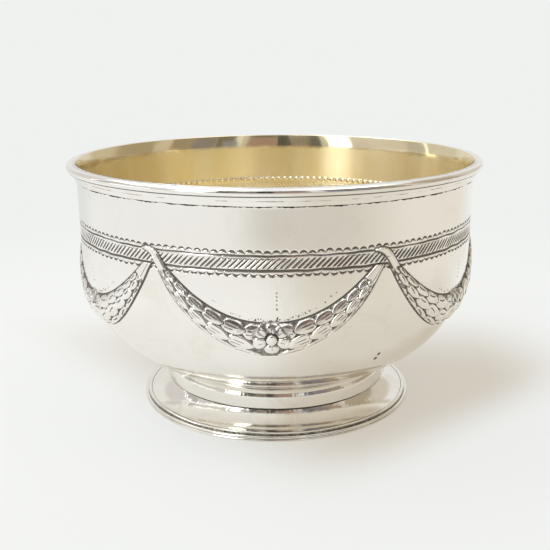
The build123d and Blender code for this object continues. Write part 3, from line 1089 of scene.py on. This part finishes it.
base_section = [(base_inside, 0.02), (base_inside + 0.15, 0.0), (base_r - reed - 0.1, 0.0)]
base_section += corner_arc((base_r - reed, reed), reed, -80, 78, 14)
base_section.append((base_r - reed + 0.06, 2 * reed))
base_section += corner_arc((base_r - reed, 3 * reed), reed, -78, 85, 14)
base_section += [(base_inside + 0.1, base_top), (base_inside, base_top - 0.1)]
base = lathe("foot_edge_wire", base_section, SHADED_FOOT_SILVER, base_shade, 0.02, 141)
settle(base, "base_wire")
inside_corner = (base_inside + 0.02, base_top - 0.05)
seam("edge_seam", inside_corner, (-1, -0.9), 0.34, "base_wire_solder", 241, dark=0.9)


# --- Floor

BACKDROP = (0.868, 0.884, 0.868)
FLOOR_RADIUS = 2.5
PAPER_GLOW = 0.80

# Painted shade on the floor that only the silver shows: colour, azimuth, half width and softness of
# the sides in degrees, and the distances from the axis in metres at which the part begins and is
# full
FLOOR_SHADE_PARTS = (
    ((0.76, 0.77, 0.76), -150, 28, 16, 0.06, 0.14),
    ((0.68, 0.63, 0.545), 58, 50, 16, 0.03, 0.07),
    ((0.80, 0.755, 0.68), 95, 36, 18, 0.14, 0.24),
    ((0.655, 0.625, 0.57), 14, 26, 14, 0.20, 0.30),
    ((0.42, 0.405, 0.385), 22, 74, 34, 0.5, 1.6),
)


def paper_material():
    """Pale paper that partly glows: the camera sees it as the backdrop with a painted shadow, and
    the silver as the floor of a room with painted shade.
    """
    material = bpy.data.materials.new("pale_paper")
    n = Nodes(material)
    spot = n("ShaderNodeTexCoord").outputs["Object"]
    apart = n("ShaderNodeSeparateXYZ", {0: spot})
    aim = n.azimuth(apart)
    far = n("ShaderNodeVectorMath", {0: spot}, operation="LENGTH").outputs["Value"]

    def between_lines(x_share, y_share, low, high):
        """0 to 1 between two parallel lines, given by a direction and distances along it."""
        y_part = n.times(apart.outputs["Y"], y_share)
        return n.span(n.line(apart.outputs["X"], x_share, y_part), low, high)

    shadow = n.times(
        between_lines(0.66, -0.75, 0.065, 0.040),
        between_lines(0.75, 0.66, -0.046, -0.004),
        between_lines(0.0, 1.0, 0.078, 0.010),
        between_lines(1.0, 0.0, 0.105, 0.062),
    )
    mottle = n.span(n.noise(spot, 14.0, 3.0), 0.3, 0.7)
    tint = n.mix(mottle, (0.880, 0.890, 0.878), (0.868, 0.878, 0.864))
    tint = n.mix(shadow, tint, (0.62, 0.55, 0.44))
    dull = {"Roughness": 0.75, "Specular IOR Level": 0.12}
    matt = n("ShaderNodeBsdfPrincipled", {"Base Color": tint, **dull})
    backdrop = n.mix(shadow, BACKDROP, (0.70, 0.655, 0.58))
    # The silver sees painted shade on the floor near the foot, in the parts above and under the
    # painted shadow.
    room = n.mix(n.span(far, 0.06, 0.13), (0.83, 0.82, 0.79), (0.87, 0.868, 0.85))
    for colour, centre, half, soft, start, full in FLOOR_SHADE_PARTS:
        part = n.times(n.sector(aim, centre, half, soft), n.span(far, start, full))
        room = n.mix(part, room, colour)
    room = n.mix(n.times(shadow, 0.65), room, (0.60, 0.54, 0.44))
    seen = n("ShaderNodeLightPath").outputs["Is Camera Ray"]
    glow = n("ShaderNodeEmission", {"Color": n.mix(seen, room, backdrop), "Strength": 1.0})
    fade = n.span(far, 0.13, 0.30, PAPER_GLOW, 1.0)
    ends = n("ShaderNodeMixShader", {0: fade, 1: matt.outputs[0], 2: glow.outputs[0]})
    n("ShaderNodeOutputMaterial", {"Surface": ends.outputs[0]})
    return material


# A broad disc, finer near the middle, at the height of the foot
floor_rows = [(np.array([(0.0, 0.0, 0.0)]), np.zeros(1))]
for radius in np.geomspace(12, FLOOR_RADIUS / MM, 40):
    floor_rows.append(plain_row(radius, 0.0, 192))
mesh_object("table", floor_rows, paper_material())


# --- Room and light

# Parts of the room that the silver shows: colour, azimuth and half width, lowest and highest
# elevation, and softness of the edges, in degrees
ROOM_PARTS = (
    ((0.34, 0.32, 0.30), 22, 74, -12, 4, 14),
    ((0.68, 0.65, 0.62), -85, 60, 2, 36, 5),
    ((1.55, 1.55, 1.52), -95, 42, 38, 64, 5),
    ((0.42, 0.355, 0.26), 100, 46, 2, 46, 4),
    ((0.64, 0.59, 0.50), 136, 15, 2, 46, 5),
    ((0.66, 0.60, 0.50), 81, 6, 2, 50, 1),
    ((0.34, 0.28, 0.20), 67, 8, 2, 50, 1),
    ((0.24, 0.22, 0.23), 51, 8, 2, 50, 1),
    ((0.16, 0.14, 0.11), 36, 7, 2, 50, 1),
    ((0.26, 0.27, 0.36), 32, 5, 2, 24, 1),
    ((0.60, 0.58, 0.48), 22, 1.2, 2, 50, 0.7),
    ((0.36, 0.24, 0.20), 10.5, 9.5, 2, 34, 1),
    ((0.10, 0.09, 0.085), 10.5, 9.5, 34, 48, 1),
    ((0.055, 0.05, 0.05), -4, 5, 2, 48, 1),
    ((0.24, 0.20, 0.16), -16, 7, 2, 40, 1),
    ((0.09, 0.09, 0.085), -26, 4, 2, 48, 1),
    ((0.55, 0.57, 0.50), -31, 1.5, 2, 48, 0.7),
    ((3.6, 3.6, 3.55), -42.5, 8, 5, 74, 1),
    ((0.50, 0.48, 0.45), -101, 7, 6, 36, 3),
    ((1.5, 1.5, 1.48), -111, 1.3, -4, 50, 0.6),
    ((1.7, 1.7, 1.68), -80, 14, -4, 4, 2),
    ((4.2, 4.2, 4.1), -33, 9, 62, 84, 3),
    ((2.5, 2.4, 2.2), 76, 34, 55, 84, 5),
)


def studio_world():
    """Soft light and dark areas that only the silver sees; the camera sees the backdrop."""
    world = bpy.data.worlds.new("studio")
    n = Nodes(world)
    toward = n("ShaderNodeTexCoord").outputs["Generated"]
    apart = n("ShaderNodeSeparateXYZ", {0: toward})
    azimuth = n.azimuth(apart)
    elevation = n.math("DEGREES", n.math("ARCSINE", apart.outputs["Z"]))
    sky = n.mix(n.span(elevation, 0, 70), (0.80, 0.79, 0.76), (0.92, 0.92, 0.92))
    for colour, centre, half, low, high, soft in ROOM_PARTS:
        above = n.span(elevation, low - soft, low + soft)
        below = n.span(elevation, high + soft, high - soft)
        sky = n.mix(n.times(n.sector(azimuth, centre, half, soft), above, below), sky, colour)
    seen = n("ShaderNodeLightPath").outputs["Is Camera Ray"]
    light = n("ShaderNodeBackground", {"Color": n.mix(seen, sky, BACKDROP), "Strength": 1.0})
    n("ShaderNodeOutputWorld", {"Surface": light.outputs[0]})
    return world


def softbox(name, azimuth, height, distance, size, power, colour):
    """A square area light that faces the middle of the bowl, placed by angles in degrees."""
    data = bpy.data.lights.new(name, "AREA")
    data.size = size
    data.energy = power
    data.color = colour
    lamp = bpy.data.objects.new(name, data)
    bpy.context.scene.collection.objects.link(lamp)
    a, e = math.radians(azimuth), math.radians(height)
    away = Vector((math.sin(a) * math.cos(e), -math.cos(a) * math.cos(e), math.sin(e)))
    lamp.location = CAD_MIDDLE + distance * away
    lamp.rotation_euler = (-away).to_track_quat("-Z", "Y").to_euler()


bpy.context.scene.world = studio_world()
softbox("left_softbox", -112, 60, 0.8, 0.5, 1.5, (1.0, 0.995, 0.98))


# --- Camera

CAMERA_DISTANCE = 0.2429
CAMERA_HEIGHT = 0.10045
CAMERA_SHIFT = 0.00018
CAMERA_AZIMUTH = math.radians(1.75)
CAMERA_PITCH = math.radians(15.20)
CAMERA_ROLL = math.radians(0.425)

camera_data = bpy.data.cameras.new("camera")
camera_data.sensor_width = 36.0
camera_data.lens = 56.2
camera_data.clip_start = 0.01
camera = bpy.data.objects.new("camera", camera_data)
bpy.context.scene.collection.objects.link(camera)
heading = Matrix.Rotation(CAMERA_AZIMUTH, 4, "Z")
tilt = Matrix.Rotation(math.pi / 2 - CAMERA_PITCH, 4, "X")
roll = Matrix.Rotation(-CAMERA_ROLL, 4, "Z")
place = Vector((CAD_MIDDLE.x, CAD_MIDDLE.y, CAD_LOW.z + CAMERA_HEIGHT))
place += heading @ Vector((-CAMERA_SHIFT, -CAMERA_DISTANCE, 0))
camera.matrix_world = Matrix.Translation(place) @ heading @ tilt @ roll
bpy.context.scene.camera = camera
bpy.context.scene.view_settings.view_transform = "Standard"
